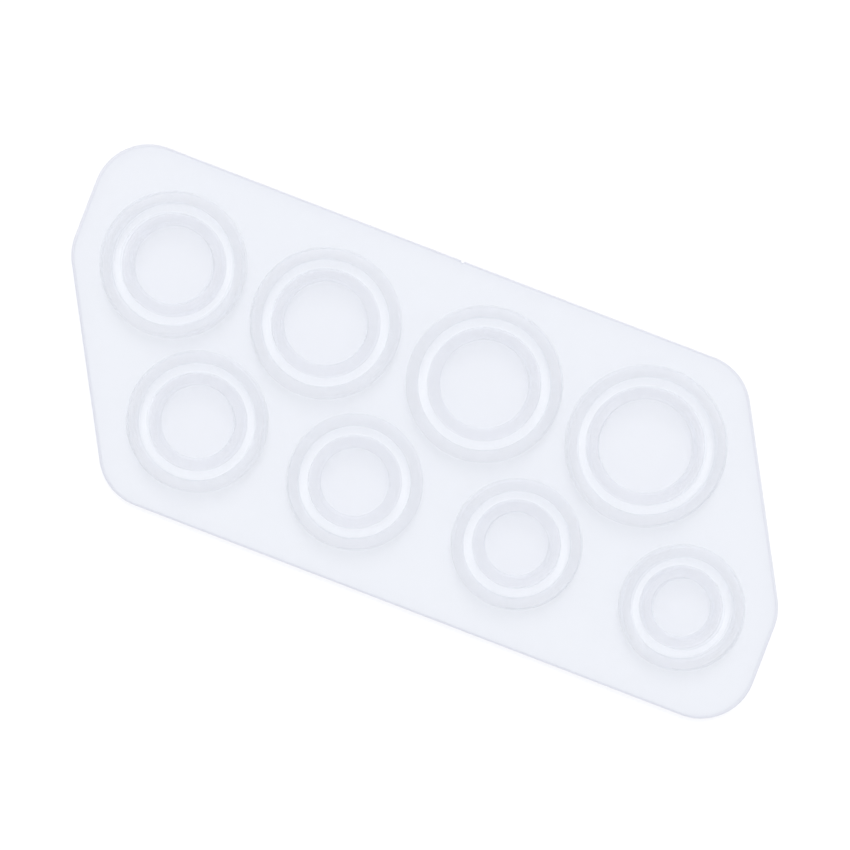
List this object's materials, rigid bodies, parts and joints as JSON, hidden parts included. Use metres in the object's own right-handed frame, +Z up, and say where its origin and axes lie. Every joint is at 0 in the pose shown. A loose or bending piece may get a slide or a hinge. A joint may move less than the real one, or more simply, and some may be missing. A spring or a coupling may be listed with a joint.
{
  "type": "ring casting mould",
  "caption": "Clear silicone mould for casting resin band rings: a flat sheet with clipped corners and rows of raised round cells, each an open ring-shaped channel in graded sizes.",
  "frame": {"origin": "middle of the sheet's flat underside", "axes": "+X along the sheet's length, +Y across it towards the row of larger rings, +Z up, out of the open channels"},
  "size_m": [0.156, 0.068, 0.006],
  "materials": {
    "clear_silicone": "translucent, smooth satin"
  },
  "bodies": {
    "root": {"base_sheet": "clear_silicone", "cavity_floor_1": "clear_silicone", "inner_wall_1": "clear_silicone", "outer_wall_1": "clear_silicone", "cavity_floor_2": "clear_silicone", "inner_wall_2": "clear_silicone", "outer_wall_2": "clear_silicone", "cavity_floor_3": "clear_silicone", "inner_wall_3": "clear_silicone", "outer_wall_3": "clear_silicone", "cavity_floor_4": "clear_silicone", "inner_wall_4": "clear_silicone", "outer_wall_4": "clear_silicone", "cavity_floor_5": "clear_silicone", "inner_wall_5": "clear_silicone", "outer_wall_5": "clear_silicone", "cavity_floor_6": "clear_silicone", "inner_wall_6": "clear_silicone", "outer_wall_6": "clear_silicone", "cavity_floor_7": "clear_silicone", "inner_wall_7": "clear_silicone", "outer_wall_7": "clear_silicone", "cavity_floor_8": "clear_silicone", "inner_wall_8": "clear_silicone", "outer_wall_8": "clear_silicone"}
  },
  "joints": []
}
